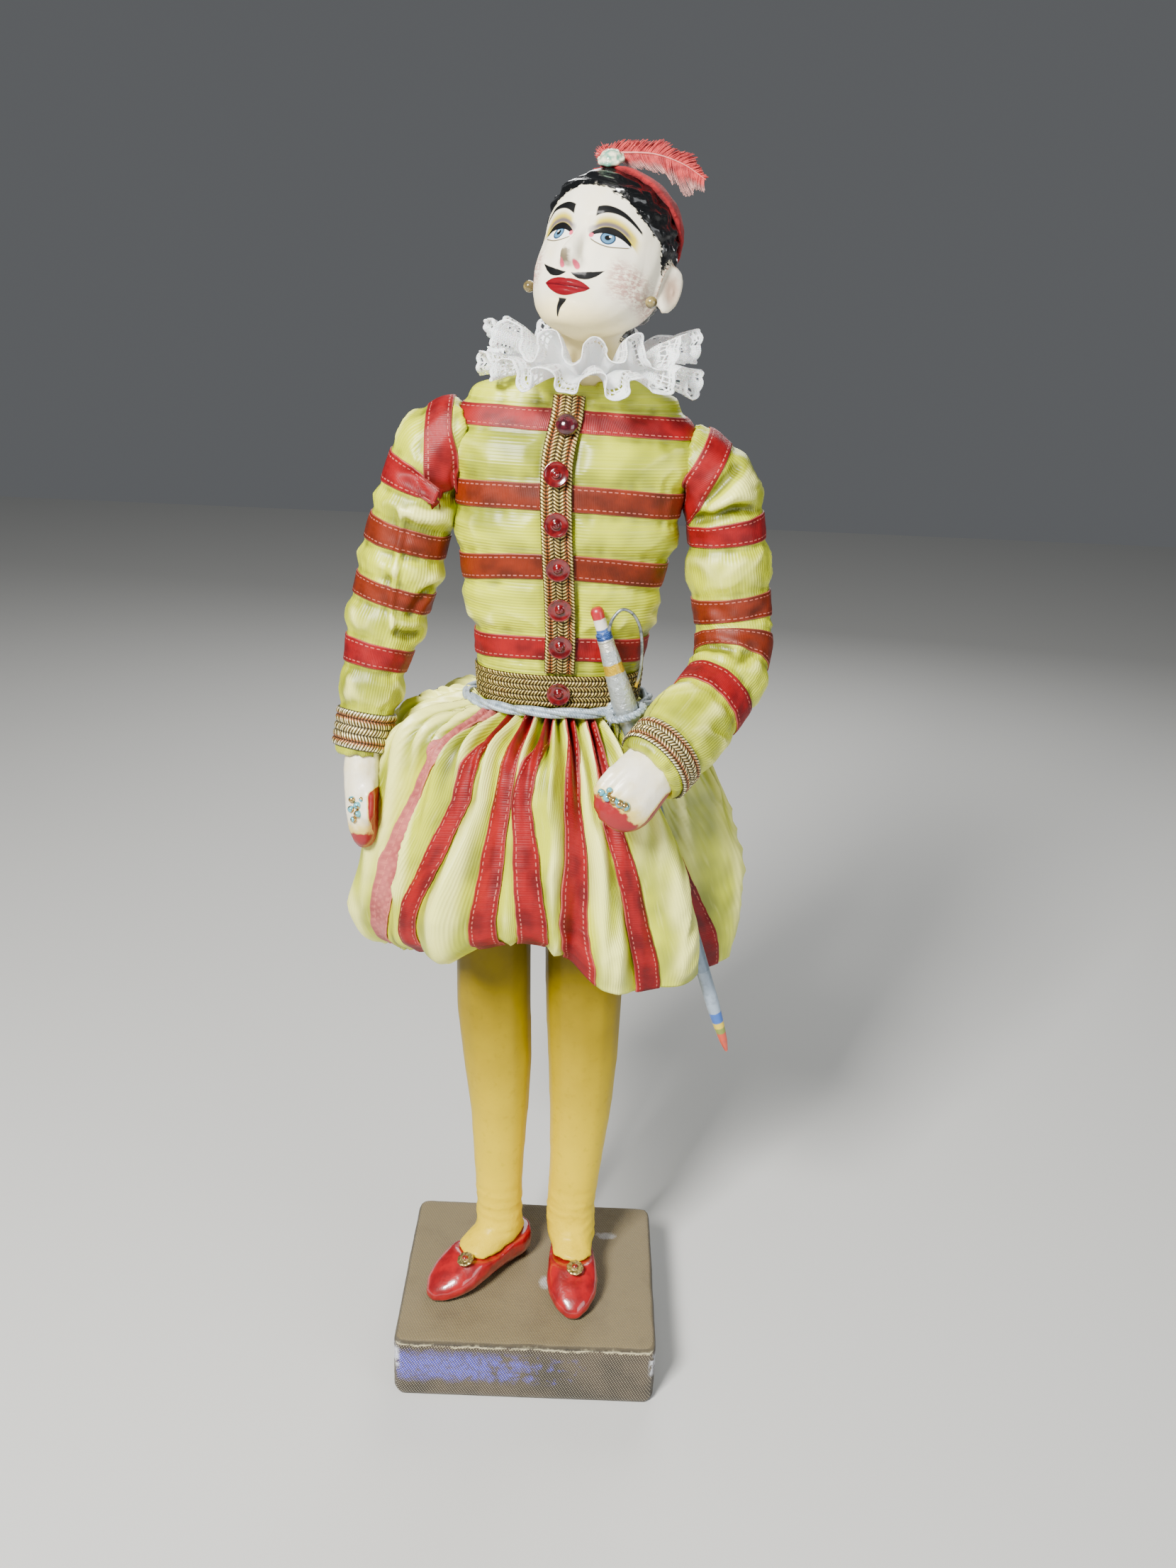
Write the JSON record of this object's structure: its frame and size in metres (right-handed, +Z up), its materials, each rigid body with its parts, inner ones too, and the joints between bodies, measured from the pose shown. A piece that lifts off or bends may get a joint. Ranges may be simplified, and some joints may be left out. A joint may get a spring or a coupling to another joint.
{
  "type": "costume doll",
  "caption": "Standing costume doll in striped satin jacket and puffed breeches, with lace ruff, feathered cap and sword, on a cloth-covered block.",
  "frame": {"origin": "middle of the block's underside", "axes": "+Z up, -Y the way the doll's chest and shoes face, +X towards the doll's own left hand"},
  "size_m": [0.1129, 0.0789, 0.3334],
  "materials": {
    "cloth_cover": "grey-brown woven cloth glued round a wooden block, worn pale along its top front edge, with violet and silver patches",
    "yellow_stocking": "golden yellow paint over moulded legs, slightly glossy",
    "red_enamel": "glossy red enamel",
    "yellow_satin": "pale lemon yellow ribbed satin",
    "red_satin": "dark red satin ribbon with two rows of stitching",
    "rust_satin": "rust brown satin ribbon with two rows of stitching",
    "gold_braid": "woven metallic gold braid",
    "silver_cord": "twisted silver cord",
    "red_sequin": "dark red cupped sequins, each held by a bead",
    "painted_flesh": "cream enamel paint, with painted features and hair",
    "red_felt": "red felt",
    "paste_jewel": "pale paste stone in a light metal rim",
    "red_feather": "coral red feather with pale wispy barbs",
    "white_lace": "white cotton lace",
    "painted_silver": "silver grey paint with blue, yellow and red bands"
  },
  "bodies": {
    "root": {"base_block": "cloth_cover", "shoe_right": "red_enamel", "leg_right": "yellow_stocking", "buckle_right": "gold_braid", "shoe_left": "red_enamel", "leg_left": "yellow_stocking", "buckle_left": "gold_braid", "jacket": "yellow_satin", "hand_right": "painted_flesh", "sleeve_right": "yellow_satin", "sleeve_right_ribbon_1": "red_satin", "sleeve_right_ribbon_2": "rust_satin", "sleeve_right_ribbon_3": "rust_satin", "sleeve_right_ribbon_4": "red_satin", "armhole_ribbon_right": "red_satin", "cuff_right": "gold_braid", "hand_left": "painted_flesh", "sleeve_left": "yellow_satin", "sleeve_left_ribbon_1": "red_satin", "sleeve_left_ribbon_2": "rust_satin", "sleeve_left_ribbon_3": "rust_satin", "sleeve_left_ribbon_4": "red_satin", "armhole_ribbon_left": "red_satin", "cuff_left": "gold_braid", "trunk_ribbon_1": "red_satin", "trunk_ribbon_2": "rust_satin", "trunk_ribbon_3": "rust_satin", "trunk_ribbon_4": "red_satin", "placket": "gold_braid", "belt": "gold_braid", "sequin_1": "red_sequin", "sequin_2": "red_sequin", "sequin_3": "red_sequin", "sequin_4": "red_sequin", "sequin_5": "red_sequin", "sequin_6": "red_sequin", "sequin_7": "red_sequin", "skirt": "yellow_satin", "skirt_ribbon_1": "red_satin", "skirt_ribbon_2": "red_satin", "skirt_ribbon_3": "red_satin", "skirt_ribbon_4": "red_satin", "skirt_ribbon_5": "red_satin", "skirt_ribbon_6": "red_satin", "skirt_ribbon_7": "red_satin", "skirt_ribbon_8": "red_satin", "skirt_ribbon_9": "red_satin", "skirt_ribbon_10": "red_satin", "skirt_ribbon_11": "red_satin", "skirt_ribbon_12": "red_satin", "sword": "painted_silver", "sword_guard": "painted_silver", "waist_cord": "silver_cord", "head": "painted_flesh", "cap": "red_felt", "cap_jewel": "paste_jewel", "earring_right": "paste_jewel", "earring_left": "paste_jewel", "feather": "red_feather", "ruff": "white_lace"}
  },
  "joints": []
}
